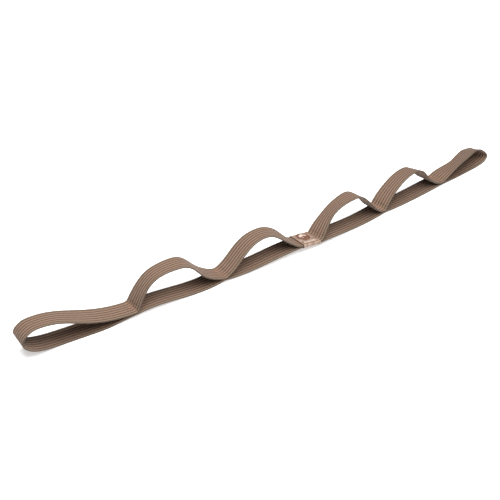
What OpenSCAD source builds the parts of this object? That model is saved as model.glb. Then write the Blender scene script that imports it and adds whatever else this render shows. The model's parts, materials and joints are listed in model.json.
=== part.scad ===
// Stretching strap: one ring of ribbed elastic webbing, sewn to itself at four seams and
// wrapped by a label at its centre, so that it makes four arches and two end loops.
// It lies on the floor along X, with +Z up and the origin under the middle of its outline.

/* [Webbing] */
// Width of the webbing
webbing_width = 40; // [30:1:45]
// Thickness of the webbing
webbing_thickness = 2.6; // [2.2:0.1:2.8]

/* [Arched loops] */
// Length of each arched loop in plan, from one line of stitching to the next
pitch = [176, 163, 178, 177]; // [155:1:185]
// How far each crest is from the left end of its loop, as a share of the loop's length
crest_share = [0.48, 0.55, 0.525, 0.5]; // [0.46:0.005:0.56]
// Height of the webbing's middle line at each crest
crest_height = [63, 62, 65, 58.5]; // [56:0.5:69]
// Angle at which each arch rises from its left seam
rise_angle = [62.5, 24.5, 84.5, 85]; // [20:0.5:85]
// Angle at which each arch comes down to its right seam
fall_angle = [20, 0, 0, 10.5]; // [0:0.5:25]
// Angle of each base run as it leaves its left seam
base_left_angle = [8.5, -6.5, -2.5, -6]; // [-8:0.5:10]
// Angle of each base run as it meets its right seam
base_right_angle = [-14, -1.5, -7.5, -3]; // [-15:0.5:3]

/* [End loops] */
// Reach of the left end loop beyond its seam
left_reach = 198; // [190:1:205]
// Height of the left end loop's crest
left_crest = 55.5; // [50:1:60]
// Reach of the right end loop beyond its seam
right_reach = 159; // [154:1:168]
// Height of the right end loop's crest
right_crest = 33; // [30:1:38]

/* [Seams] */
// Height of the base webbing's middle line at seams 1, 2, 4 and 5
seam_height = [7.5, 6.5, 5, 5]; // [4.5:0.5:8]
// Half of the space left for each fold line
fold_gap = 1.5; // [1.4:0.1:1.6]
// Diameter of the sewing thread
thread_diameter = 0.6; // [0.4:0.1:0.7]
// Stitches in each row across the webbing
stitches = 12; // [8:1:14]

/* [Label] */
// Length of the label wrap along the strap
label_length = 42; // [38:1:44]
// Thickness of the label wrap
wrap_thickness = 0.8; // [0.6:0.1:0.8]
// Height of the base webbing's middle line under the label
label_height = 13; // [11:0.5:14]
// Slope of the label, down towards the right
label_tilt = 7.5; // [5:0.5:9]
// Diameter of the round badge
badge_diameter = 26; // [22:1:27]
// Length and width of the rectangular plate
plate_size = [31, 9]; // [8:1:32]

/* [Lie of the strap] */
// Plan direction of the left end loop, loops 1 and 2, the label, loops 3 and 4, the right end loop
heading = [-0.8, -3.6, -5.7, -1.6, 3.2, 2.1, 3.7]; // [-6:0.1:5]

/* [Hidden] */

webbing_color = "#93806f";
label_color = "#e6cbb8";
badge_color = "#a5705c";
plate_color = "#efdfd2";
thread_color = "#6d5646";

half = webbing_thickness / 2;

// Length of flat, doubled webbing on each side of a fold line
flat = 3.2;
// Distance of each row of stitches from its fold line
row_offset = 2.1;
// Space between the two halves of a loop, where it stretches
stretch_gap = 0.3;
// Steps along each curve
steps = 12;
// Room that a cutting block has beyond what it cuts, and its height
clear = 10;
tall = 100;

// Distance of the label's fold lines from the middle of the label
label_fold = label_length / 2 + fold_gap;
label_drop = label_fold * tan(label_tilt);

// Fold lines in plan, from the middle of the label outwards
function along(a) = [cos(a), sin(a)];
fold_label_left = -label_fold * along(heading[3]);
fold_label_right = label_fold * along(heading[3]);
fold_2 = fold_label_left - pitch[1] * along(heading[2]);
fold_1 = fold_2 - pitch[0] * along(heading[1]);
fold_4 = fold_label_right + pitch[2] * along(heading[4]);
fold_5 = fold_4 + pitch[3] * along(heading[5]);

// Left fold line of each arched loop, its plan direction, and the heights at its two ends
loop_start = [fold_1, fold_2, fold_label_right, fold_4];
loop_heading = [heading[1], heading[2], heading[4], heading[5]];
loop_z = [
  [seam_height[0], seam_height[1]],
  [seam_height[1], label_height + label_drop],
  [label_height - label_drop, seam_height[2]],
  [seam_height[2], seam_height[3]]
];

// Middle of the outline in plan
function side_x(a) = webbing_width / 2 * abs(sin(a));
function side_y(a) = webbing_width / 2 * cos(a);
low_x = fold_1[0] - (left_reach + half) * cos(heading[0]) - side_x(heading[0]);
high_x = fold_5[0] + (right_reach + half) * cos(heading[6]) + side_x(heading[6]);
low_y = -(webbing_width / 2 + wrap_thickness) * cos(heading[3])
  - label_length / 2 * abs(sin(heading[3]));
left_y = fold_1[1] - (left_reach + half) * sin(heading[0]) + side_y(heading[0]);
right_y = fold_5[1] + (right_reach + half) * sin(heading[6]) + side_y(heading[6]);
middle = [(low_x + high_x) / 2, (low_y + max(left_y, right_y)) / 2];

// Curves. Points are [distance along the loop, height].
function curve(a, b, c, d) =
  [for (i = [0:steps]) let (t = i / steps)
    pow(1 - t, 3) * a + 3 * pow(1 - t, 2) * t * b + 3 * (1 - t) * t * t * c + pow(t, 3) * d];
function without_first(list) = [for (i = [1:len(list) - 1]) list[i]];

// Outline of a strip of webbing around its middle line
function crosswise(line, i) =
  let (a = line[max(i - 1, 0)], b = line[min(i + 1, len(line) - 1)], d = (b - a) / norm(b - a))
  [-d[1], d[0]];
function strip(line) = concat(
  [for (i = [0:len(line) - 1]) line[i] + half * crosswise(line, i)],
  [for (i = [len(line) - 1:-1:0]) line[i] - half * crosswise(line, i)]
);

// Reach of each arch's curve handles: off the left seam, before and after the crest, and
// into the right seam, as shares of the distances that they span
arch_reach = [
  [0.55, 0.52, 0.455, 0.6],
  [0.35, 0.525, 0.4, 0.11],
  [0.02, 0.61, 0.395, 0.225],
  [0.06, 0.575, 0.415, 0.47]
];

function arch_line(k) =
  let (
    start = [flat, loop_z[k][0] + webbing_thickness],
    crest = [crest_share[k] * pitch[k], crest_height[k]],
    end = [pitch[k] - flat, loop_z[k][1] + webbing_thickness],
    r = arch_reach[k],
    up = r[0] * norm(crest - start) * [cos(rise_angle[k]), sin(rise_angle[k])],
    down = r[3] * norm(end - crest) * [-cos(fall_angle[k]), sin(fall_angle[k])]
  )
  concat(
    [[0, start[1]]],
    curve(start, start + up, crest - [r[1] * (crest[0] - start[0]), 0], crest),
    without_first(curve(crest, crest + [r[2] * (end[0] - crest[0]), 0], end + down, end)),
    [[pitch[k], end[1]]]
  );

function base_line(k) =
  let (
    start = [flat, loop_z[k][0]],
    end = [pitch[k] - flat, loop_z[k][1]],
    third = (end[0] - start[0]) / 3
  )
  concat(
    [[0, start[1]]],
    curve(
      start, start + third * [1, tan(base_left_angle[k])],
      end + third * [-1, tan(base_right_angle[k])], end
    ),
    [[pitch[k], end[1]]]
  );

// End loops: [seam height, reach, crest height, crest share, tip height share, rise angle,
// outer and inner ends of the stretch that lies flat on the floor, curve handle shares]
left_end = [
  seam_height[0], left_reach, left_crest, 0.885, 0.715, 5.5, 103, 65,
  [0.49, 0.35, 0.36, 0.44, 0.375, 0.61]
];
right_end = [
  seam_height[3], right_reach, right_crest, 0.695, 0.39, 24, 112, 53,
  [0.55, 0.335, 0.46, 0.5, 0.55, 0.57]
];

function end_crest(e) = [e[3] * e[1], e[2]];
function end_outer(e) = [e[6], half];

// From the seam up to the crest
function end_rise(e) =
  let (
    start = [flat, e[0] + webbing_thickness],
    crest = end_crest(e),
    span = norm(crest - start),
    up = e[8][0] * span * [cos(e[5]), sin(e[5])]
  )
  concat([[0, start[1]]], curve(start, start + up, crest - [e[8][1] * span, 0], crest));

// From the crest round the tip to the floor
function end_turn(e) =
  let (
    crest = end_crest(e),
    tip = [e[1], e[4] * e[2]],
    outer = end_outer(e),
    r = e[8]
  )
  concat(
    curve(
      crest, crest + [r[2] * norm(tip - crest), 0],
      tip + [0, r[3] * (crest[1] - tip[1])], tip
    ),
    without_first(curve(
      tip, tip - [0, r[4] * (tip[1] - half)],
      outer + [r[5] * norm(tip - outer), 0], outer
    ))
  );

// Along the floor and up to the seam
function end_floor(e) =
  let (
    inner = [e[7], half],
    end = [flat, e[0]],
    third = (inner[0] - end[0]) / 3
  )
  concat(
    [end_outer(e)],
    curve(inner, inner - [third, 0], end + [third, 0], end),
    [[0, end[1]]]
  );

function end_line(e) =
  concat(end_rise(e), without_first(end_turn(e)), without_first(end_floor(e)));

// Where an end loop divides to stretch
end_split = 80;

// Placing
module in_plan(fold, direction) {
  translate([fold[0] - middle[0], fold[1] - middle[1], 0])
    rotate([0, 0, direction])
      children();
}

module on_label() {
  in_plan([0, 0], heading[3])
    translate([0, 0, label_height + half])
      rotate([0, label_tilt, 0])
        children();
}

// A solid of webbing along a middle line
module webbing(line) {
  color(webbing_color)
    rotate([90, 0, 0])
      linear_extrude(height = webbing_width, center = true)
        polygon(strip(line));
}

// A block that keeps what is between two distances along a loop
module between(from, to) {
  translate([from, -webbing_width / 2 - clear, -clear])
    cube([to - from, webbing_width + 2 * clear, tall]);
}

// The space kept free around a fold line, square to the mean of the directions that meet there
module fold_space(turn) {
  rotate([0, 0, turn / 2])
    translate([-fold_gap, -webbing_width / 2 - clear, -clear])
      cube([2 * fold_gap, webbing_width + 2 * clear, tall]);
}

// Turn in plan from a loop to its neighbour on the left or on the right
left_turn = [
  heading[0] - heading[1], heading[1] - heading[2],
  heading[3] - heading[4], heading[4] - heading[5]
];
right_turn = [
  heading[2] - heading[1], heading[3] - heading[2],
  heading[5] - heading[4], heading[6] - heading[5]
];

module left_half(k, line) {
  color(webbing_color)
    in_plan(loop_start[k], loop_heading[k])
      difference() {
        intersection() {
          webbing(line);
          between(0, pitch[k] / 2 - stretch_gap / 2);
        }
        fold_space(left_turn[k]);
      }
}

module right_half(k, line) {
  color(webbing_color)
    in_plan(loop_start[k], loop_heading[k])
      difference() {
        intersection() {
          webbing(line);
          between(pitch[k] / 2 + stretch_gap / 2, pitch[k]);
        }
        translate([pitch[k], 0, 0])
          fold_space(right_turn[k]);
      }
}

// One row of stitches across the top layer, beside a fold line
module stitch_row(offset, height) {
  space = webbing_width / (stitches + 1);
  length = 0.7 * space;
  color(thread_color)
    for (i = [1:stitches])
      translate([offset, i * space - webbing_width / 2, height + thread_diameter / 2])
        rotate([90, 0, 0])
          cylinder(h = length, d = thread_diameter, center = true, $fn = 24);
}

module seam_row(fold, direction, offset, seam) {
  in_plan(fold, direction)
    stitch_row(offset, seam_height[seam] + webbing_thickness + half);
}

// The centre: two layers of webbing, the wrap around them and what is fixed to it
module centre_layer(height) {
  color(webbing_color)
    on_label()
      translate([0, 0, height])
        cube([label_length, webbing_width, webbing_thickness], center = true);
}

module centre_base() {
  centre_layer(-half);
}

module centre_top() {
  centre_layer(half);
}

module label_wrap() {
  outer = [
    label_length, webbing_width + 2 * wrap_thickness,
    2 * webbing_thickness + 2 * wrap_thickness
  ];
  color(label_color)
    on_label()
      difference() {
        cube(outer, center = true);
        cube([label_length + clear, webbing_width, 2 * webbing_thickness], center = true);
      }
}

// Height of the wrap's upper face above the middle of the two layers
wrap_top = webbing_thickness + wrap_thickness;

module label_badge() {
  badge_y = 6.5;
  thickness = 0.9;
  rim = 1.1;
  recess = 0.3;
  color(badge_color)
    on_label()
      translate([0, badge_y, wrap_top])
        difference() {
          cylinder(h = thickness, d = badge_diameter, $fn = 96);
          translate([0, 0, thickness - recess])
            cylinder(h = clear, d = badge_diameter - 2 * rim, $fn = 96);
        }
}

module label_plate() {
  plate_y = -13.2;
  thickness = 1;
  rim = 1;
  recess = 0.3;
  color(plate_color)
    on_label()
      translate([-0.5, plate_y, wrap_top + thickness / 2])
        difference() {
          cube([plate_size[0], plate_size[1], thickness], center = true);
          translate([0, 0, thickness - recess])
            cube([plate_size[0] - 2 * rim, plate_size[1] - 2 * rim, thickness], center = true);
        }
}

module label_stitching() {
  edge = 1.1;
  on_label() {
    stitch_row(edge - label_length / 2, wrap_top);
    stitch_row(label_length / 2 - edge, wrap_top);
  }
}

// End loops, each in an upper and a lower run and a tip
inner_end = end_split - stretch_gap / 2;
tip_start = end_split + stretch_gap / 2;

module left_end_part(line, from, to) {
  color(webbing_color)
    in_plan(fold_1, heading[0])
      mirror([1, 0, 0])
        difference() {
          intersection() {
            webbing(line);
            between(from, to);
          }
          fold_space(heading[0] - heading[1]);
        }
}

module right_end_part(line, from, to) {
  color(webbing_color)
    in_plan(fold_5, heading[6])
      difference() {
        intersection() {
          webbing(line);
          between(from, to);
        }
        fold_space(heading[5] - heading[6]);
      }
}

module left_end_upper() {
  left_end_part(end_rise(left_end), 0, inner_end);
}

module left_end_lower() {
  left_end_part(end_floor(left_end), 0, inner_end);
}

module left_end_tip() {
  left_end_part(end_line(left_end), tip_start, left_reach + clear);
}

module right_end_upper() {
  right_end_part(end_rise(right_end), 0, inner_end);
}

module right_end_lower() {
  right_end_part(end_floor(right_end), 0, inner_end);
}

module right_end_tip() {
  right_end_part(end_line(right_end), tip_start, right_reach + clear);
}

centre_base();
centre_top();
label_wrap();
label_badge();
label_plate();
label_stitching();
left_half(0, base_line(0));  // base_1_left
right_half(0, base_line(0));  // base_1_right
left_half(0, arch_line(0));  // arch_1_left
right_half(0, arch_line(0));  // arch_1_right
left_half(1, base_line(1));  // base_2_left
right_half(1, base_line(1));  // base_2_right
left_half(1, arch_line(1));  // arch_2_left
right_half(1, arch_line(1));  // arch_2_right
left_half(2, base_line(2));  // base_3_left
right_half(2, base_line(2));  // base_3_right
left_half(2, arch_line(2));  // arch_3_left
right_half(2, arch_line(2));  // arch_3_right
left_half(3, base_line(3));  // base_4_left
right_half(3, base_line(3));  // base_4_right
left_half(3, arch_line(3));  // arch_4_left
right_half(3, arch_line(3));  // arch_4_right
seam_row(fold_1, heading[0], -row_offset, 0);  // seam_1_stitches_left
seam_row(fold_1, heading[1], row_offset, 0);  // seam_1_stitches_right
seam_row(fold_2, heading[1], -row_offset, 1);  // seam_2_stitches_left
seam_row(fold_2, heading[2], row_offset, 1);  // seam_2_stitches_right
seam_row(fold_4, heading[4], -row_offset, 2);  // seam_4_stitches_left
seam_row(fold_4, heading[5], row_offset, 2);  // seam_4_stitches_right
seam_row(fold_5, heading[5], -row_offset, 3);  // seam_5_stitches_left
seam_row(fold_5, heading[6], row_offset, 3);  // seam_5_stitches_right
left_end_upper();
left_end_lower();
left_end_tip();
right_end_upper();
right_end_lower();
right_end_tip();
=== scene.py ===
"""Stretching strap: ribbed elastic webbing sewn into four arches and two end loops,
with a label at its middle."""

import json
import math

import bpy
import numpy as np
from mathutils import Euler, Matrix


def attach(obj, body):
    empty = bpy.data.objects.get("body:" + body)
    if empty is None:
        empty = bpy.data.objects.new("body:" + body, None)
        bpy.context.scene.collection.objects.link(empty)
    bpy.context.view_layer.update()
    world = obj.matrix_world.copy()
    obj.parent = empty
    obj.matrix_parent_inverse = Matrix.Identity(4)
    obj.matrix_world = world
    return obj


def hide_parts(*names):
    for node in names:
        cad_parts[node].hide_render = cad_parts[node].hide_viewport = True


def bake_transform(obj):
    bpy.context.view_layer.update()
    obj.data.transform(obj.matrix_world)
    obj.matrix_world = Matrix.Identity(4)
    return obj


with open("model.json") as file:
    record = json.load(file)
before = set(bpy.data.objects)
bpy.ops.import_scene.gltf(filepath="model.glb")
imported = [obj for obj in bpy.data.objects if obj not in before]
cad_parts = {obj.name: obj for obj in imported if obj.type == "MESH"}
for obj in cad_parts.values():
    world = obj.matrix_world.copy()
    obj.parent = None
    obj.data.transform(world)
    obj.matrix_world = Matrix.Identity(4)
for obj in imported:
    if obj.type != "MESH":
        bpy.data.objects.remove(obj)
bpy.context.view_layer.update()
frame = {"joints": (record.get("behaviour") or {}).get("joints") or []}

MM = 0.001  # lengths here are in millimetres, and the scene is in metres

# Webbing, in millimetres
WIDTH = 40.0
THICKNESS = 2.6
HALF = THICKNESS / 2
RIB_PITCH = 6.1
GROOVES = 6
GROOVE_DEPTH = 0.42
GROOVE_WIDTH = 0.5
RIB_CROWN = 0.12
SEWN_FLAT = 3.2  # from a fold line to where the two layers part
ROW_OFFSET = 2.1  # from a fold line to each row of stitches
FOLD_REACH = 10.0  # from a fold line to the end of the pieces that bend there
CORNER_SOFTNESS = 3.0  # length over which the ring's corners are evened out
RING_STEP = 0.5
FOLD_STEPS = FOLD_REACH / RING_STEP
# Steps between cross-sections, in ring steps: within a distance of a fold, and further away
STATION_STEPS = ((7, 1), (14, 3))
STATION_STEP = 5
SHORTEST_STEP = 0.3
QUILT_DEPTH = 0.3  # how much flatter the webbing is at a row of stitches, as a share
QUILT_WIDTH = 0.9  # from a row to where that has nearly faded
GROOVE_POINTS = (-1.0, -0.5, 0, 0.5, 1.0)  # from a groove's middle to the points across it
SELVEDGE_STEP = 2.4  # from the outermost groove to the next point
EDGE_POINTS = (1.1, 0.45, 0.12, 0)  # from the webbing's edge to the points beside it

# Arches and the base runs under them, from left to right, on the same lines as the CAD part:
# share: how far along an arch its crest is, of the span between the fold lines
# crest: its height
# rise, fall: slope at the left and the right seam, in degrees
# pull: how far the curve's four handles reach, as shares of the distances they span
# base: slopes of the run below at its two ends, in degrees
# bank, side: how the webbing turns, in degrees, and shifts aside, at each quarter of the arch
ARCHES = [
    dict(share=0.48, crest=63, rise=62.5, fall=20, pull=(0.55, 0.52, 0.455, 0.6),
         base=(8.5, -14), bank=(-8, -2, 5.5), side=(0.8, 0.4, -2)),
    dict(share=0.55, crest=62, rise=24.5, fall=0, pull=(0.35, 0.525, 0.4, 0.11),
         base=(-6.5, -1.5), bank=(-1, -4.5, 7.5), side=(0.9, 0.1, -1)),
    dict(share=0.525, crest=65, rise=84.5, fall=0, pull=(0.02, 0.61, 0.395, 0.225),
         base=(-2.5, -7.5), bank=(-20, -8, 3), side=(2.7, -0.7, -1)),
    dict(share=0.5, crest=58.5, rise=85, fall=10.5, pull=(0.06, 0.575, 0.415, 0.47),
         base=(-6, -3), bank=(-9, -10.5, -3), side=(0.2, 0.4, 1.4)),
]
ARCH_KEYS = (0, 0.25, 0.5, 0.75, 1)  # where bank and side are given, as shares of the length
# End loops, with the same words and:
# reach: from the seam to the tip
# tip: height of the tip, as a share of the crest's
# outer, inner: from the seam to where the run lies on the floor, and to where it leaves it
LEFT_END = dict(reach=198, crest=55.5, share=0.885, tip=0.715, rise=5.5, outer=103, inner=65,
                pull=(0.49, 0.35, 0.36, 0.44, 0.375, 0.61),
                bank=(4, -3.5, -5, 0, 0), side=(-0.4, 2, 1.5, 10.5, 4.7))
RIGHT_END = dict(reach=159, crest=33, share=0.695, tip=0.39, rise=24, outer=112, inner=53,
                 pull=(0.55, 0.335, 0.46, 0.5, 0.55, 0.57),
                 bank=(-22.5, -18.5, 0, 0, 0), side=(-5.5, 4.7, 2.5, 1.4, 1.5))
END_KEYS = (0, 0.2, 0.4, 0.5, 0.7, 0.85, 1)
FOLDS = ["fold_seam_1", "fold_seam_2", "fold_label_left",
         "fold_label_right", "fold_seam_4", "fold_seam_5"]
SEAM_NUMBER = {"fold_seam_1": 1, "fold_seam_2": 2, "fold_seam_4": 4, "fold_seam_5": 5}

# How the webbing is coloured across its width, in millimetres
GROOVE_SHADE = (0.2, 1.65)  # from a groove's middle: all dark, and no longer dark
SELVEDGE_FROM = (15.9, 16.5)  # from the webbing's middle: the last rib's end, and plain twill
EDGE_SHADE = (18.6, 19.8)  # from the webbing's middle: where the painted shade on the rounded edge starts, and is full
PICK, WALE, TWILL = 0.9, 1.02, 1.5  # spacing of the weave's lines along, across and aslant
LANE_SHIFT = 10.0  # makes the ribs' numbers positive

# Stitches, in millimetres
STITCHES = 12  # in a row
STITCH_GAP = 0.3
THREAD_WIDTH = 0.85
THREAD_HEIGHT = 0.6
STITCH_STEPS, STITCH_SIDES = 9, 8
STITCH_TIP = 0.05  # a stitch's thickness at its very ends, as a share
STITCH_DIP = 0.45  # how far a stitch's ends dip, as a share of the thread's height
THREAD_SINK = 0.3  # how high the thread's middle lies on the webbing, as a share of its height
EDGE_MARGIN = 1.0  # from the webbing's edges to a row's ends

# Label, in millimetres
LABEL_LENGTH = 42.0
WRAP = 0.8
WRAP_TOP = THICKNESS + WRAP
WRAP_CORNERS = (0.6, 2.0)  # radii of the wrap's section, inside and outside
WRAP_SPACING = (1.0, 0.8)  # of the points along its straight sides, inside and outside
PINCH_DEPTH, PINCH_WIDTH = 0.55, 0.5  # the crease along each side of the wrap
HEM = 2.0  # length of the rolled hem at each end
BADGE_RADIUS = 13.0
BADGE_Y = 6.5  # from the label's middle, across it
BADGE_BORDER = 1.6  # width of the badge's rim and channel together
DOME_TOP, DOME_FALL = 1.15, 0.55  # height of the badge's face, and how much it falls to its border
DEVICE_BAR = (1.8, 9.6, 2.7)  # from the badge's middle to its inner and outer ends, and its width
DEVICE_BEAD = (3.2, 5.2, 1.6)
PLATE = (31.0, 9.0)
PLATE_AT = (-0.5, -13.2)  # from the label's middle, along and across it
CORNER_EXTRA = 0.6  # added to the radii in the plate's profile
PEARL_FROM = 5  # the step of the plate's profile at which its border ends
LABEL_ROW = 1.1  # from the label's ends to its rows of stitches
LABEL_ROW_LIFT = 0.35  # height of those rows above the wrap
LABEL_EDGE = 1.3  # width of the painted shadow along its left end
LABEL_EDGE_BLUR = 0.2

# Camera: its place in metres, its turn in degrees and its lens in millimetres
CAMERA_AT = (-0.9885, -1.0662, 0.8987)
CAMERA_TURN = (57.928, -0.213, -39.436)
CAMERA_LENS = 66.81
CAMERA_SIGHT = 50  # how far it sees, in metres

FLOOR_REACH = 6000.0  # from the middle to the floor's edges, in millimetres
WORLD_LEVEL = 0.18

joints = {j["name"]: j for j in frame["joints"]}


# ---------------------------------------------------------------- lines

def unit(vector):
    return vector / np.linalg.norm(vector, axis=-1, keepdims=True)


def direction(degrees):
    return np.array([math.cos(math.radians(degrees)), math.sin(math.radians(degrees))])


def bezier(a, b, c, d, steps=40):
    t = np.linspace(0, 1, steps + 1)[:, None]
    a, b, c, d = (np.array(p, float) for p in (a, b, c, d))
    return (1 - t) ** 3 * a + 3 * (1 - t) ** 2 * t * b + 3 * (1 - t) * t * t * c + t ** 3 * d


def length_along(points):
    return np.concatenate([[0], np.cumsum(np.linalg.norm(np.diff(points, axis=0), axis=1))])


def curve_through(keys, values, at):
    """A smooth curve through the values at the keys, which doesn't overshoot them."""
    keys, values = np.array(keys, float), np.array(values, float)
    gap = np.diff(keys)
    rise = np.diff(values) / gap
    slope = np.zeros(len(keys))
    product, total = rise[1:] * rise[:-1], rise[1:] + rise[:-1]
    slope[1:-1] = np.where(product > 0, 2 * product / np.where(product > 0, total, 1), 0)
    cell = np.clip(np.searchsorted(keys, at, side="right") - 1, 0, len(gap) - 1)
    u = (at - keys[cell]) / gap[cell]
    start, end = values[cell], values[cell + 1]
    bend = u * (1 - u) * gap[cell] * ((1 - u) * slope[cell] - u * slope[cell + 1])
    return start + (end - start) * u * u * (3 - 2 * u) + bend


def arch_line(arch, span, z_start, z_end):
    start = np.array([SEWN_FLAT, z_start])
    crest = np.array([arch["share"] * span, arch["crest"]])
    end = np.array([span - SEWN_FLAT, z_end])
    pull = arch["pull"]
    up = pull[0] * np.linalg.norm(crest - start) * direction(arch["rise"])
    down = pull[3] * np.linalg.norm(end - crest) * direction(180 - arch["fall"])
    return np.vstack([
        [[0, z_start]],
        bezier(start, start + up, crest - [pull[1] * (crest[0] - start[0]), 0], crest),
        bezier(crest, crest + [pull[2] * (end[0] - crest[0]), 0], end + down, end)[1:],
        [[span, z_end]],
    ])


def base_line(arch, span, z_start, z_end):
    start, end = np.array([SEWN_FLAT, z_start]), np.array([span - SEWN_FLAT, z_end])
    third = (end[0] - start[0]) / 3
    slopes = [math.tan(math.radians(a)) for a in arch["base"]]
    middle = bezier(start, start + third * np.array([1, slopes[0]]),
                    end + third * np.array([-1, slopes[1]]), end)
    return np.vstack([[[0, z_start]], middle, [[span, z_end]]])


def end_line(loop, z_upper, z_lower):
    """Out along the upper run, round the tip, and back along the floor."""
    pull = loop["pull"]
    start = np.array([SEWN_FLAT, z_upper])
    crest = np.array([loop["share"] * loop["reach"], loop["crest"]])
    tip = np.array([loop["reach"], loop["tip"] * loop["crest"]])
    outer, inner = np.array([loop["outer"], HALF]), np.array([loop["inner"], HALF])
    back = np.array([SEWN_FLAT, z_lower])
    span, third = np.linalg.norm(crest - start), (inner[0] - back[0]) / 3
    return np.vstack([
        [[0, z_upper]],
        bezier(start, start + pull[0] * span * direction(loop["rise"]),
               crest - [pull[1] * span, 0], crest),
        bezier(crest, crest + [pull[2] * np.linalg.norm(tip - crest), 0],
               tip + [0, pull[3] * (crest[1] - tip[1])], tip)[1:],
        bezier(tip, tip - [0, pull[4] * (tip[1] - HALF)],
               outer + [pull[5] * np.linalg.norm(tip - outer), 0], outer)[1:],
        bezier(inner, inner - [third, 0], back + [third, 0], back),
        [[0, z_lower]],
    ])


# ---------------------------------------------------------------- the ring of webbing

def fold_at(name):
    return np.array(joints[name]["pos_m"]) / MM


def flat_direction(a, b):
    return unit(np.append((b - a)[:2], 0))


def placed(line, fold, right, sign=1, keys=(0, 1), bank=(0, 0), side=(0, 0)):
    """A run's points in space, how far it banks there in radians, and the direction across it."""
    across = np.cross([0, 0, 1], right)
    share = length_along(line) / length_along(line)[-1]
    points = (np.array([fold[0], fold[1], 0]) + line[:, :1] * right * sign
              + curve_through(keys, side, share)[:, None] * across + line[:, 1:] * [0, 0, 1])
    return points, np.radians(curve_through(keys, bank, share)), np.tile(across, (len(line), 1))


def end_run(loop, fold_name, slide_name, sign):
    fold = fold_at(fold_name)
    right = np.array(joints[slide_name]["axis"]) * sign
    line = end_line(loop, fold[2] + HALF, fold[2] - HALF)
    return placed(line, fold, right, sign, END_KEYS, (0, *loop["bank"], 0), (0, *loop["side"], 0))


def layer_runs(layer):
    """The runs between the folds, from left to right, in the upper or the lower layer."""
    runs = {}
    arches = iter(ARCHES)
    for left, right in zip(FOLDS, FOLDS[1:]):
        a, b = fold_at(left), fold_at(right)
        span = np.linalg.norm((b - a)[:2])
        z = a[2] + layer * HALF, b[2] + layer * HALF
        e = flat_direction(a, b)
        if left == "fold_label_left":
            runs["label"] = placed(np.array([[0, z[0]], [span, z[1]]]), a, e)
            continue
        arch = next(arches)
        if layer > 0:
            runs[left] = placed(arch_line(arch, span, *z), a, e, 1, ARCH_KEYS,
                                (0, *arch["bank"], 0), (0, *arch["side"], 0))
        else:
            runs[left] = placed(base_line(arch, span, *z), a, e)
    return list(runs.values())


def smooth(values, softness):
    """Evens out values that run round the ring, over a length in millimetres."""
    sigma = softness / RING_STEP
    steps = np.arange(-int(4 * sigma), int(4 * sigma) + 1)
    weights = np.exp(-0.5 * (steps / sigma) ** 2)
    weights /= weights.sum()
    return sum(w * np.roll(values, k, axis=0) for w, k in zip(weights, steps))


def make_ring():
    """The webbing's middle line as one closed ring, in even steps, and the position on it where
    each run starts. It goes over the arches, round the right end, back along the base and round
    the left end."""
    def reverse(run):
        return tuple(part[::-1] for part in run)
    runs = layer_runs(1)
    runs.append(end_run(RIGHT_END, "fold_seam_5", "stretch_right_end", 1))
    runs += [reverse(run) for run in reversed(layer_runs(-1))]
    runs.append(reverse(end_run(LEFT_END, "fold_seam_1", "stretch_left_end", -1)))
    points, bank, across = (np.concatenate([run[i] for run in runs]) for i in range(3))
    along = length_along(points)
    firsts = np.cumsum([0] + [len(run[0]) for run in runs[:-1]])
    count = round(along[-1] / RING_STEP)
    even = np.arange(count) * along[-1] / count
    def resample(values):
        return np.stack([np.interp(even, along, column) for column in values.T], 1)
    points = smooth(resample(points), CORNER_SOFTNESS)
    across = smooth(resample(across), 2 * CORNER_SOFTNESS)
    bank = smooth(resample(bank[:, None]), CORNER_SOFTNESS)
    heading = unit(np.roll(points, -1, axis=0) - np.roll(points, 1, axis=0))
    flat = unit(across - np.sum(across * heading, 1, keepdims=True) * heading)
    side = np.cos(bank) * flat + np.sin(bank) * np.cross(heading, flat)
    outward = np.cross(heading, side)
    starts = along[firsts] / along[-1] * count
    return dict(points=points, side=side, outward=outward, count=count), starts


ring, run_starts = make_ring()
# Position of each fold on the ring, in the upper and in the lower layer
upper_folds = dict(zip(FOLDS, run_starts[:6]))
lower_folds = dict(zip(reversed(FOLDS), run_starts[6:12]))


def on_ring(key, position):
    """A value of the ring at a position between its points."""
    low = math.floor(position)
    values, share = ring[key], position - low
    return (1 - share) * values[low % ring["count"]] + share * values[(low + 1) % ring["count"]]


# ---------------------------------------------------------------- meshes

def make_object(name, vertices, faces, flat_faces=(), uv=None, materials=()):
    """A mesh object from vertices in millimetres. uv gives each vertex's place on the webbing."""
    mesh = bpy.data.meshes.new(name)
    mesh.from_pydata((np.asarray(vertices) * MM).tolist(), [], faces)
    smooth_shaded = np.ones(len(faces), bool)
    smooth_shaded[list(flat_faces)] = False
    mesh.polygons.foreach_set("use_smooth", smooth_shaded)
    if uv is not None:
        layer = mesh.uv_layers.new(name="webbing")
        corners = np.zeros(len(mesh.loops), int)
        mesh.loops.foreach_get("vertex_index", corners)
        layer.data.foreach_set("uv", (np.asarray(uv)[corners] * MM).ravel())
    for material in materials:
        mesh.materials.append(material)
    mesh.validate()
    obj = bpy.data.objects.new(name, mesh)
    bpy.context.scene.collection.objects.link(obj)
    return obj


def grid_faces(rows, columns, close_rows=False):
    """Quads between rows of points that each close on themselves."""
    i = np.arange(rows if close_rows else rows - 1)[:, None]
    j = np.arange(columns)[None, :]
    a, b = i * columns + j, i * columns + (j + 1) % columns
    c, d = (i + 1) % rows * columns + (j + 1) % columns, (i + 1) % rows * columns + j
    return np.stack([a, d, c, b], -1).reshape(-1, 4).tolist()


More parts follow.
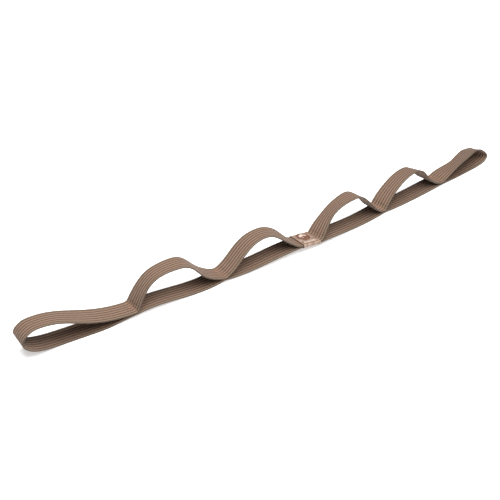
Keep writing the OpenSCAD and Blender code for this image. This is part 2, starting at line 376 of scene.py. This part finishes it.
def webbing_section():
    """Outline of the webbing's cross-section: one face with its ribs, then the other."""
    rib = RIB_PITCH / 2
    half_row = [0.0]
    for k in range(GROOVES // 2):
        groove = rib + k * RIB_PITCH
        half_row += [groove + d for d in GROOVE_POINTS]
        half_row.append(groove + rib if k < GROOVES // 2 - 1 else groove + SELVEDGE_STEP)
    edge = WIDTH / 2
    half_row += [edge - d for d in EDGE_POINTS]
    v = np.array([-x for x in half_row[:0:-1]] + half_row)
    distance = np.abs((np.abs(v) / RIB_PITCH + 1) % 1 - 0.5) * RIB_PITCH
    inside = np.abs(v) < rib * GROOVES
    groove = np.where(inside, np.exp(-(distance / GROOVE_WIDTH) ** 2), 0)
    crown = np.where(inside, (1 - distance / rib) ** 2, 0)
    rounded = np.sqrt(np.clip(1 - np.clip((np.abs(v) - edge + HALF) / HALF, 0, 1) ** 2, 0, 1))
    h = (HALF - RIB_CROWN * crown - (GROOVE_DEPTH - RIB_CROWN) * groove) * rounded
    return np.concatenate([v, v[-2:0:-1]]), np.concatenate([h, -h[-2:0:-1]]), len(v)


SECTION_V, SECTION_H, FACE_POINTS = webbing_section()


def fold_positions():
    return np.array(list(upper_folds.values()) + list(lower_folds.values()))


def distance_to_fold(position):
    gap = np.abs(fold_positions() - position % ring["count"])
    return np.minimum(gap, ring["count"] - gap).min() * RING_STEP


def ring_stations(first, last):
    """Positions of a piece's cross-sections, closer together beside a fold."""
    def step(position):
        near = distance_to_fold(position)
        return next((size for reach, size in STATION_STEPS if near < reach), STATION_STEP)
    positions = [first]
    while positions[-1] < last:
        positions.append(positions[-1] + step(positions[-1]))
    positions[-1] = last
    if last - positions[-2] < SHORTEST_STEP:
        del positions[-2]
    return positions


def webbing_piece(name, first, last, material):
    """The ring's webbing between two positions, closed at both ends."""
    stations = ring_stations(first, last)
    columns = len(SECTION_V)
    rows = []
    for position in stations:
        away = np.abs(distance_to_fold(position) - ROW_OFFSET)
        h = SECTION_H * (1 - QUILT_DEPTH * math.exp(-(away / QUILT_WIDTH) ** 2))
        rows.append(on_ring("points", position) + SECTION_V[:, None] * on_ring("side", position)
                    + h[:, None] * on_ring("outward", position))
    faces = grid_faces(len(rows), columns)
    sides = len(faces)
    end = (len(rows) - 1) * columns
    for j in range(FACE_POINTS - 1):
        corners = [j, j + 1, columns - j - 1, (columns - j) % columns]
        corners = list(dict.fromkeys(corners))
        faces.append(corners)
        faces.append([end + c for c in reversed(corners)])
    uv = np.stack([np.repeat(np.array(stations) * RING_STEP, columns),
                   np.tile(SECTION_V, len(rows))], 1)
    return make_object(name, np.concatenate(rows), faces, range(sides, len(faces)), uv, [material])


def capsule(middle, along, up, length, width, height):
    """One stitch: a short rounded thread that dips into the webbing at both ends."""
    steps, sides = STITCH_STEPS, STITCH_SIDES
    u = np.sin(np.linspace(-math.pi / 2, math.pi / 2, steps))
    out = np.cross(along, up)
    swell = np.sqrt(np.clip(1 - np.abs(u) ** 5, 0, 1))
    turn = np.arange(sides) / sides * 2 * math.pi
    points = []
    for share, size in zip(u, swell):
        centre = middle + along * share * length / 2 - up * height * STITCH_DIP * share ** 4
        size = max(size, STITCH_TIP)
        points.append(centre + size * (np.cos(turn)[:, None] * out * width / 2
                                       + np.sin(turn)[:, None] * up * height / 2))
    faces = [f[::-1] for f in grid_faces(steps, sides)]
    faces.append(list(range(sides)))
    faces.append([(steps - 1) * sides + k for k in reversed(range(sides))])
    return np.concatenate(points), faces


def joined(parts):
    """Several (vertices, faces) parts as one."""
    vertices, faces, count = [], [], 0
    for part_vertices, part_faces in parts:
        vertices.append(part_vertices)
        faces += [[count + c for c in face] for face in part_faces]
        count += len(part_vertices)
    return np.concatenate(vertices), faces


def stitch_row(middle, side, up):
    """A row of stitches across the webbing, as one (vertices, faces) part."""
    space = (WIDTH - 2 * EDGE_MARGIN) / STITCHES
    return joined([
        capsule(middle + side * (k + 0.5 - STITCHES / 2) * space, side, up,
                space - STITCH_GAP, THREAD_WIDTH, THREAD_HEIGHT)
        for k in range(STITCHES)])


# ---------------------------------------------------------------- materials

class Nodes:
    """A material's nodes, made by short calls."""

    def __init__(self, name, roughness, **levels):
        self.material = bpy.data.materials.new(name)
        self.material.use_nodes = True
        self.tree = self.material.node_tree
        self.shader = self.tree.nodes["Principled BSDF"]
        self.shader.inputs["Roughness"].default_value = roughness
        for socket, value in levels.items():
            self.shader.inputs[socket.replace("_", " ")].default_value = value

    def put(self, socket, value):
        if isinstance(value, bpy.types.NodeSocket):
            self.tree.links.new(value, socket)
        else:
            socket.default_value = value

    def node(self, kind, settings=None, **inputs):
        node = self.tree.nodes.new(kind)
        for key, value in (settings or {}).items():
            setattr(node, key, value)
        for key, value in inputs.items():
            self.put(node.inputs[key.replace("_", " ")], value)
        return node

    def maths(self, operation, *values):
        node = self.tree.nodes.new("ShaderNodeMath")
        node.operation = operation
        for socket, value in zip(node.inputs, values):
            self.put(socket, value)
        return node.outputs[0]

    def ramp(self, value, low, high, to_low=0.0, to_high=1.0):
        node = self.node("ShaderNodeMapRange", {"interpolation_type": "SMOOTHSTEP"},
                         Value=value, From_Min=low, From_Max=high, To_Min=to_low, To_Max=to_high)
        return node.outputs[0]

    def mix(self, share, a, b, blend="MIX"):
        node = self.node("ShaderNodeMix", {"data_type": "RGBA", "blend_type": blend})
        for socket, value in ((node.inputs[0], share), (node.inputs[6], a), (node.inputs[7], b)):
            self.put(socket, value)
        return node.outputs[2]

    def vector(self, x, y, z=0.0):
        return self.node("ShaderNodeCombineXYZ", X=x, Y=y, Z=z).outputs[0]

    def noise(self, place, scale, detail=2.0):
        return self.node("ShaderNodeTexNoise", Vector=place, Scale=scale, Detail=detail).outputs[0]

    def object_place(self):
        return self.node("ShaderNodeTexCoord").outputs["Object"]

    def finish(self, colour, height=None, distance=0.0001, roughness=None):
        self.put(self.shader.inputs["Base Color"], colour)
        if height is not None:
            bump = self.node("ShaderNodeBump", Height=height, Distance=distance, Strength=1.0)
            self.put(self.shader.inputs["Normal"], bump.outputs[0])
        if roughness is not None:
            self.put(self.shader.inputs["Roughness"], roughness)
        return self.material


def paint(red, green, blue):
    """A colour given as it looks on a screen, from 0 to 255."""
    def linear(value):
        value /= 255
        return value / 12.92 if value <= 0.04045 else ((value + 0.055) / 1.055) ** 2.4
    return linear(red), linear(green), linear(blue), 1.0


def webbing_material():
    """Ribs with painted shade in the grooves between them and along the edges, plain twill selvedges,
    and a fine weave with painted shade in its hollows.
    """
    n = Nodes("webbing", 0.78, Sheen_Weight=0.06, Sheen_Roughness=0.5, Specular_IOR_Level=0.2)
    uv = n.node("ShaderNodeUVMap", {"uv_map": "webbing"}).outputs[0]
    place = n.node("ShaderNodeSeparateXYZ", Vector=uv)
    along = n.maths("DIVIDE", place.outputs[0], MM)
    across = n.maths("DIVIDE", place.outputs[1], MM)
    aside = n.maths("ABSOLUTE", across)
    lane = n.maths("DIVIDE", across, RIB_PITCH)
    from_groove = n.maths("MULTIPLY", RIB_PITCH, n.maths(
        "ABSOLUTE", n.maths("SUBTRACT", n.maths("FRACT", n.maths("ADD", lane, LANE_SHIFT)), 0.5)))
    ribbed = n.ramp(aside, *SELVEDGE_FROM, 1.0, 0.0)
    groove = n.maths("MULTIPLY", ribbed, n.ramp(from_groove, *GROOVE_SHADE, 1.0, 0.0))
    # Yarns: long streaks, patches along each rib, and ribs that are rosier in turn
    streaks = n.noise(n.vector(n.maths("MULTIPLY", along, 0.12),
                               n.maths("MULTIPLY", across, 1.6)), 1.0, 3.0)
    patches = n.noise(n.vector(n.maths("MULTIPLY", along, 0.03),
                               n.maths("FLOOR", n.maths("ADD", lane, 0.5))), 1.7, 1.0)
    every_other = n.maths("PINGPONG", n.maths("FLOOR", n.maths("ADD", lane, LANE_SHIFT + 0.5)), 1.0)
    rosy = n.maths("ADD", n.maths("MULTIPLY", patches, 0.7), n.maths("MULTIPLY", every_other, 0.3))
    # The weave, finer on the ribs than on the selvedges
    pick = n.maths("SINE", n.maths("MULTIPLY", along, 2 * math.pi / PICK))
    wale = n.maths("SINE", n.maths("MULTIPLY", across, 2 * math.pi / WALE))
    twill = n.maths("SINE", n.maths("MULTIPLY", n.maths("ADD", along, across), 2 * math.pi / TWILL))
    weave = n.maths("ADD", n.maths("MULTIPLY", pick, 0.5), n.maths("MULTIPLY", wale, 0.3))
    selvedge = n.maths("SUBTRACT", 1.0, ribbed)
    fine = n.maths("ADD", n.maths("MULTIPLY", weave, ribbed), n.maths("MULTIPLY", twill, selvedge))
    # Colours
    rib = n.mix(n.ramp(rosy, 0.2, 0.8), RIB_TAUPE, RIB_SALMON)
    rib = n.mix(n.ramp(streaks, 0.3, 0.7), n.mix(1.0, rib, STREAK_SHADE, "MULTIPLY"), rib)
    # Painted shade in the grooves between the ribs
    colour = n.mix(groove, rib, PAINTED_SHADE_BROWN)
    colour = n.mix(selvedge, colour, SELVEDGE_GREY)
    # Painted shade along the webbing's rounded edges
    colour = n.mix(n.ramp(aside, *EDGE_SHADE, 0.0, 0.75), colour, PAINTED_SHADE_BROWN)
    # Painted shade in the hollows of the weave, where its bump is low
    weave_hollow_shade = n.maths("MULTIPLY", n.ramp(fine, -1.0, 0.4, 0.3, 0.0),
                         n.maths("SUBTRACT", 1.0, groove))
    colour = n.mix(weave_hollow_shade, colour, PAINTED_SHADE_BROWN)
    height = n.maths("ADD", n.maths("MULTIPLY", fine, 0.35), n.maths("MULTIPLY", streaks, 0.4))
    return n.finish(colour, height, 0.00012)


def thread_material(name, light, dark):
    """Twisted sewing thread with darker specks."""
    n = Nodes(name, 0.55, Sheen_Weight=0.1, Specular_IOR_Level=0.3)
    place = n.object_place()
    specks = n.noise(place, 700.0, 1.0)
    twist = n.node("ShaderNodeTexWave", {"bands_direction": "DIAGONAL"}, Vector=place,
                   Scale=420.0).outputs[1]
    return n.finish(n.mix(n.ramp(specks, 0.42, 0.6), light, dark), twist, 0.00015)


def label_material():
    """Rose satin: fine cross threads, a soft gloss and a painted shadow along its left end."""
    n = Nodes("label_satin", 0.45, Specular_IOR_Level=0.35)
    place = n.object_place()
    middle, along = label_frame()[:2]
    to_right = n.node("ShaderNodeVectorMath", {"operation": "DOT_PRODUCT"})
    n.put(to_right.inputs[0], place)
    n.put(to_right.inputs[1], along)
    to_left = n.maths("SUBTRACT", np.dot(middle, along) * MM, to_right.outputs[1])
    edge, blur = (LABEL_LENGTH / 2 - LABEL_EDGE) * MM, LABEL_EDGE_BLUR * MM
    patches = n.noise(place, 120.0, 2.0)
    cloth = n.node("ShaderNodeTexWave", {"bands_direction": "X"}, Vector=place, Scale=900.0,
                   Distortion=0.6).outputs[1]
    colour = n.mix(n.ramp(patches, 0.35, 0.65), LABEL_PALE, LABEL_ROSE)
    # Painted shadow along the label's left end
    colour = n.mix(n.ramp(to_left, edge - blur, edge + blur, 0.0, 0.85), colour, LABEL_PAINTED_SHADOW)
    return n.finish(colour, n.maths("ADD", n.maths("MULTIPLY", cloth, 0.15), patches), 0.00025,
                    n.ramp(patches, 0.3, 0.7, 0.34, 0.5))


def grained_material(name, light, dark, roughness, scale=350.0, depth=0.0001, **levels):
    """A moulded or embossed surface with a fine grain in two tones."""
    n = Nodes(name, roughness, **levels)
    grain = n.noise(n.object_place(), scale, 3.0)
    return n.finish(n.mix(n.ramp(grain, 0.35, 0.65), light, dark), grain, depth)


def floor_material():
    """Smooth white paper with a faint unevenness."""
    n = Nodes("white_paper", 0.9, Specular_IOR_Level=0.1, Emission_Strength=0.45)
    n.put(n.shader.inputs["Emission Color"], WHITE)
    fibres = n.noise(n.object_place(), 40.0, 2.0)
    return n.finish(n.mix(fibres, *PAPER_TONES))


# Colours. Tones are the two that a material's grain or fibres run between
RIB_TAUPE, RIB_SALMON = paint(116, 95, 79), paint(120, 95, 80)
STREAK_SHADE = (0.8, 0.8, 0.8, 1)
# The first colour is painted shade, for the grooves, the webbing's edges and the weave's hollows; the
# second is the selvedges' own colour
PAINTED_SHADE_BROWN, SELVEDGE_GREY = paint(44, 31, 23), paint(106, 89, 74)
THREAD_TONES = paint(152, 111, 86), paint(88, 58, 43)
DARK_THREAD_TONES = paint(96, 62, 46), paint(48, 30, 22)
LABEL_PALE, LABEL_ROSE = paint(134, 115, 101), paint(106, 85, 72)
# Painted shadow for the label's left end
LABEL_PAINTED_SHADOW = paint(52, 32, 24)
BADGE_TONES = paint(106, 73, 58), paint(76, 49, 38)
PEARL_TONES = paint(160, 145, 133), paint(144, 125, 112)
DEVICE_TONES = paint(182, 168, 157), paint(152, 134, 121)
BORDER_TONES = paint(104, 78, 58), paint(84, 60, 44)
PAPER_TONES = (0.69, 0.69, 0.69, 1), (0.71, 0.71, 0.71, 1)
WHITE = (1, 1, 1, 1)

webbing = webbing_material()
thread = thread_material("thread", *THREAD_TONES)
dark_thread = thread_material("dark_thread", *DARK_THREAD_TONES)
badge_plastic = grained_material("badge_brown", *BADGE_TONES, 0.38, Coat_Weight=0.2)
pearl = grained_material("pearl", *PEARL_TONES, 0.25, 180.0, 0.00005, Coat_Weight=0.4)
device_white = grained_material("device_white", *DEVICE_TONES, 0.35, 180.0, 0.00005, Coat_Weight=0.2)
border = grained_material("plate_border", *BORDER_TONES, 0.4)


# ---------------------------------------------------------------- webbing pieces


def bend_at_fold(piece):
    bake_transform(piece)


def stretch_between(piece):
    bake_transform(piece)


def add_folds():
    """The short pieces that bend, one in each layer at each fold line."""
    for name in FOLDS:
        label = name.removeprefix("fold_")
        for layer, folds in (("upper", upper_folds), ("lower", lower_folds)):
            piece = webbing_piece(f"fold_{label}_{layer}", folds[name] - FOLD_STEPS,
                                  folds[name] + FOLD_STEPS, webbing)
            bend_at_fold(piece)


def add_loops():
    """The arch and the base run of each hand loop, numbered from the left."""
    for left, number in ((0, 1), (1, 2), (3, 3), (4, 4)):
        a, b = FOLDS[left:left + 2]
        for kind, first, last in (("arch", upper_folds[a], upper_folds[b]),
                                  ("base", lower_folds[b], lower_folds[a])):
            piece = webbing_piece(f"{kind}_{number}", first + FOLD_STEPS, last - FOLD_STEPS, webbing)
            stretch_between(piece)
            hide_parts(f"{kind}_{number}_left", f"{kind}_{number}_right")


def add_end_loops():
    """Each end loop in one piece, from one layer round the tip to the other."""
    ends = (("left_end", "fold_seam_1", lower_folds, upper_folds, ring["count"]),
            ("right_end", "fold_seam_5", upper_folds, lower_folds, 0))
    for name, fold, leaves, returns, turn in ends:
        piece = webbing_piece(f"{name}_loop", leaves[fold] + FOLD_STEPS,
                              returns[fold] + turn - FOLD_STEPS, webbing)
        stretch_between(piece)
        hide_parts(f"{name}_upper", f"{name}_lower", f"{name}_tip")


def add_label_layers():
    """The two layers of webbing inside the label."""
    left, right = "fold_label_left", "fold_label_right"
    for name, node, first, last in (
            ("label_upper_layer", "centre_top", upper_folds[left], upper_folds[right]),
            ("label_lower_layer", "centre_base", lower_folds[right], lower_folds[left])):
        piece = webbing_piece(name, first + FOLD_STEPS, last - FOLD_STEPS, webbing)
        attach(piece, "centre")
        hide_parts(node)


def add_seam_stitches():
    """Two rows at each seam, seen on the upper and on the lower face."""
    lie = HALF * (1 - QUILT_DEPTH) + THREAD_HEIGHT * THREAD_SINK
    for name, number in SEAM_NUMBER.items():
        for side, sign in (("left", -1), ("right", 1)):
            rows = []
            for folds, way in ((upper_folds, 1), (lower_folds, -1)):
                position = folds[name] + sign * way * ROW_OFFSET / RING_STEP
                up = on_ring("outward", position)
                middle = on_ring("points", position) + up * lie
                rows.append(stitch_row(middle, on_ring("side", position), up))
            piece = make_object(f"seam_{number}_thread_{side}", *joined(rows), materials=[thread])
            bend_at_fold(piece)
            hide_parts(f"seam_{number}_stitches_{side}")


# ---------------------------------------------------------------- label pieces

def label_frame():
    """The label's middle, and its directions along, across and up."""
    left, right = fold_at("fold_label_left"), fold_at("fold_label_right")
    along = unit(right - left)
    across = np.cross([0, 0, 1], flat_direction(left, right))
    return (left + right) / 2, along, across, np.cross(along, across)


def on_label(points):
    middle, along, across, up = label_frame()
    points = np.asarray(points, float)
    return middle + points[:, :1] * along + points[:, 1:2] * across + points[:, 2:] * up


def rounded_box(width, depth, radius, steps=6):
    """Outline of a rectangle with round corners, anticlockwise."""
    turn = np.linspace(0, math.pi / 2, steps)
    points = []
    for quarter, (sx, sy) in enumerate(((1, 1), (-1, 1), (-1, -1), (1, -1))):
        a = turn + quarter * math.pi / 2
        points.append(np.stack([sx * (width / 2 - radius) + radius * np.cos(a),
                                sy * (depth / 2 - radius) + radius * np.sin(a)], 1))
    return np.concatenate(points)


def even_outline(outline, step):
    """An outline's points with more of them along its straight stretches."""
    closed = np.vstack([outline, outline[:1]])
    along = length_along(closed)
    extra = np.arange(0, along[-1], step)
    places = np.unique(np.round(np.concatenate([along[:-1], extra]), 3))
    return np.stack([np.interp(places, along, closed[:, k]) for k in range(2)], 1)


def add_wrap():
    """A satin sleeve round both layers, with a rolled hem at each end and a crease along each side."""
    half = LABEL_LENGTH / 2
    inner = even_outline(rounded_box(WIDTH, 2 * THICKNESS, WRAP_CORNERS[0]), WRAP_SPACING[0])
    outer_box = even_outline(rounded_box(WIDTH + 2 * WRAP, 2 * WRAP_TOP, WRAP_CORNERS[1]),
                             WRAP_SPACING[1])
    inner = inner[np.linspace(0, len(inner) - 1, len(outer_box)).round().astype(int)]
    side = np.abs(outer_box[:, 0]) > WIDTH / 2 - 0.5
    pinch = np.where(side, np.exp(-(outer_box[:, 1] / PINCH_WIDTH) ** 2), 0)
    outer = outer_box - np.stack([np.sign(outer_box[:, 0]) * pinch * PINCH_DEPTH, 0 * pinch], 1)
    # From the label's end, how far in a point is, and how far out the surface lies there, from
    # the inner face (0) to the outer (1)
    hem = [(0.3, 0.0), (0.05, 0.35), (0, 0.7), (0.2, 1.1), (0.7, 1.35), (1.3, 1.25), (HEM, 1.0)]
    profile = [(-half + inward, out) for inward, out in hem]
    profile += [(x, 1.0) for x in np.linspace(-half + HEM + 1, half - HEM - 1, 14)]
    profile += [(half - inward, out) for inward, out in reversed(hem)]
    rows = []
    for x, out in profile:
        ring_points = inner + (outer - inner) * out
        rows.append(np.column_stack([np.full(len(ring_points), x), ring_points]))
    faces = grid_faces(len(rows), len(inner), close_rows=True)
    piece = make_object("label_wrap_satin", on_label(np.concatenate(rows)), faces,
                        materials=[label_material()])
    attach(piece, "centre")
    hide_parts("label_wrap")


def stacked(outlines, heights, centre_height=None):
    """A closed solid through outlines at given heights, from its underside to its top."""
    count = len(outlines[0])
    vertices = np.concatenate([np.column_stack([outline, np.full(count, height)])
                               for outline, height in zip(outlines, heights)])
    faces = [f[::-1] for f in grid_faces(len(outlines), count)]
    faces.append(list(range(count))[::-1])
    top = (len(outlines) - 1) * count
    summit = heights[-1] if centre_height is None else centre_height
    middle = np.append(outlines[-1].mean(0), summit)
    vertices = np.vstack([vertices, middle])
    faces += [[top + k, top + (k + 1) % count, len(vertices) - 1] for k in range(count)]
    return vertices, faces


def circle(radius, count=72):
    turn = np.arange(count) / count * 2 * math.pi
    return radius * np.stack([np.cos(turn), np.sin(turn)], 1)


def dome_height(radius):
    """Height of the badge's crowned face above the wrap."""
    return DOME_TOP - DOME_FALL * (radius / (BADGE_RADIUS - BADGE_BORDER)) ** 2


def add_badge():
    """A round badge: a rim, a channel inside it, and a crowned face."""
    r = BADGE_RADIUS
    # The rim and the channel: radius and height
    profile = [(r - 0.2, -0.3), (r, 0.0), (r, 0.45), (r - 0.12, 0.75), (r - 0.4, 0.92),
               (r - 0.8, 0.9), (r - 1.1, 0.65), (r - 1.3, 0.45), (r - BADGE_BORDER, 0.5)]
    profile += [(radius, dome_height(radius)) for radius in (9.8, 8.5, 7, 5, 3, 1.2)]
    vertices, faces = stacked([circle(radius) for radius, _ in profile],
                              [WRAP_TOP + h for _, h in profile], WRAP_TOP + dome_height(0))
    vertices[:, 1] += BADGE_Y
    piece = make_object("label_badge_disc", on_label(vertices), faces, materials=[badge_plastic])
    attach(piece, "centre")
    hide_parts("label_badge")


def petal(angle, inner, outer, width):
    """A raised lens-shaped bar on the badge, pointing out at an angle from its middle."""
    turn = np.arange(24) / 24 * 2 * math.pi
    shape = np.stack([np.cos(turn), np.sin(turn) * np.abs(np.sin(turn)) ** 0.3], 1)
    a = math.radians(angle)
    out, aside = np.array([math.cos(a), math.sin(a)]), np.array([-math.sin(a), math.cos(a)])
    outlines, heights = [], []
    # The bar's size, as a share, and its height above the badge's face
    for share, height in ((1.0, -0.2), (1.0, 0.12), (0.8, 0.28), (0.4, 0.36)):
        points = ((inner + outer) / 2 * out + share * shape[:, :1] * out * (outer - inner) / 2
                  + share * shape[:, 1:] * aside * width / 2)
        outlines.append(points)
        heights.append(height)
    vertices, faces = stacked(outlines, heights)
    vertices[:, 2] += WRAP_TOP + dome_height(np.linalg.norm(vertices[:, :2], axis=1))
    return vertices, faces


def add_badge_device():
    """A plain fan of seven raised bars, with two beads below it."""
    parts = [petal(angle, *DEVICE_BAR) for angle in range(6, 175, 28)]
    parts += [petal(angle, *DEVICE_BEAD) for angle in (215, 235)]
    vertices, faces = joined(parts)
    vertices[:, 1] += BADGE_Y
    piece = make_object("label_badge_device", on_label(vertices), faces, materials=[device_white])
    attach(piece, "centre")


def add_plate():
    """A pearly plate with a raised border."""
    width, depth = PLATE
    # How far in from the plate's outline, the radius of the corners before CORNER_EXTRA, and
    # the height
    steps = [(0, 0.5, -0.2), (0, 0.5, 0.75), (0.15, 0.5, 0.93), (0.4, 0.5, 1.0), (0.75, 0.5, 0.95),
             (1.0, 0.5, 0.7), (1.25, 0.45, 0.7), (2.0, 0.4, 0.85), (3.2, 0.2, 0.95)]
    outlines = [rounded_box(width - 2 * inset, depth - 2 * inset, radius + CORNER_EXTRA)
                for inset, radius, _ in steps]
    vertices, faces = stacked(outlines, [WRAP_TOP + h for _, _, h in steps], WRAP_TOP + 1.0)
    vertices[:, :2] += PLATE_AT
    piece = make_object("label_plate_pearl", on_label(vertices), faces, materials=[border, pearl])
    around = len(outlines[0])
    underside = (len(steps) - 1) * around
    for k, polygon in enumerate(piece.data.polygons):
        polygon.material_index = 1 if k >= PEARL_FROM * around and k != underside else 0
    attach(piece, "centre")
    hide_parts("label_plate")


def add_label_stitches():
    """A row of stitches beside each end of the label, on its upper face."""
    middle, along, across, up = label_frame()
    lift = up * (WRAP_TOP + LABEL_ROW_LIFT)
    rows = [stitch_row(middle + along * sign * (LABEL_LENGTH / 2 - LABEL_ROW) + lift, across, up)
            for sign in (-1, 1)]
    piece = make_object("label_thread", *joined(rows), materials=[dark_thread])
    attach(piece, "centre")
    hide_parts("label_stitching")


# ---------------------------------------------------------------- studio

def add_floor():
    corners = [(x * FLOOR_REACH, y * FLOOR_REACH, 0) for x, y in ((-1, -1), (1, -1), (1, 1), (-1, 1))]
    floor = make_object("floor", corners, [[0, 1, 2, 3]], materials=[floor_material()])


def add_light(name, at, size, power):
    """A round soft light that faces the middle of the scene."""
    light = bpy.data.lights.new(name, "AREA")
    light.shape = "DISK"
    light.size = size
    light.energy = power
    obj = bpy.data.objects.new(name, light)
    obj.location = at
    back = unit(np.array(at))
    obj.rotation_euler = (math.acos(back[2]), 0, math.atan2(back[1], back[0]) + math.pi / 2)
    bpy.context.scene.collection.objects.link(obj)


def add_studio():
    add_floor()
    add_light("overhead", at=(-0.3, -0.7, 1.8), size=2.0, power=122)
    add_light("front", at=(-1.4, -2.4, 1.3), size=1.2, power=14)
    world = bpy.data.worlds.new("studio")
    world.use_nodes = True
    background = world.node_tree.nodes["Background"]
    background.inputs[0].default_value = WHITE
    background.inputs[1].default_value = WORLD_LEVEL
    bpy.context.scene.world = world
    bpy.context.scene.view_settings.view_transform = "Standard"


def add_camera():
    camera = bpy.data.cameras.new("camera")
    camera.lens = CAMERA_LENS
    camera.clip_end = CAMERA_SIGHT
    obj = bpy.data.objects.new("camera", camera)
    obj.location = CAMERA_AT
    obj.rotation_euler = Euler([math.radians(a) for a in CAMERA_TURN])
    bpy.context.scene.collection.objects.link(obj)
    bpy.context.scene.camera = obj


add_camera()
add_studio()
add_folds()
add_loops()
add_end_loops()
add_label_layers()
add_seam_stitches()
add_wrap()
add_badge()
add_badge_device()
add_plate()
add_label_stitches()
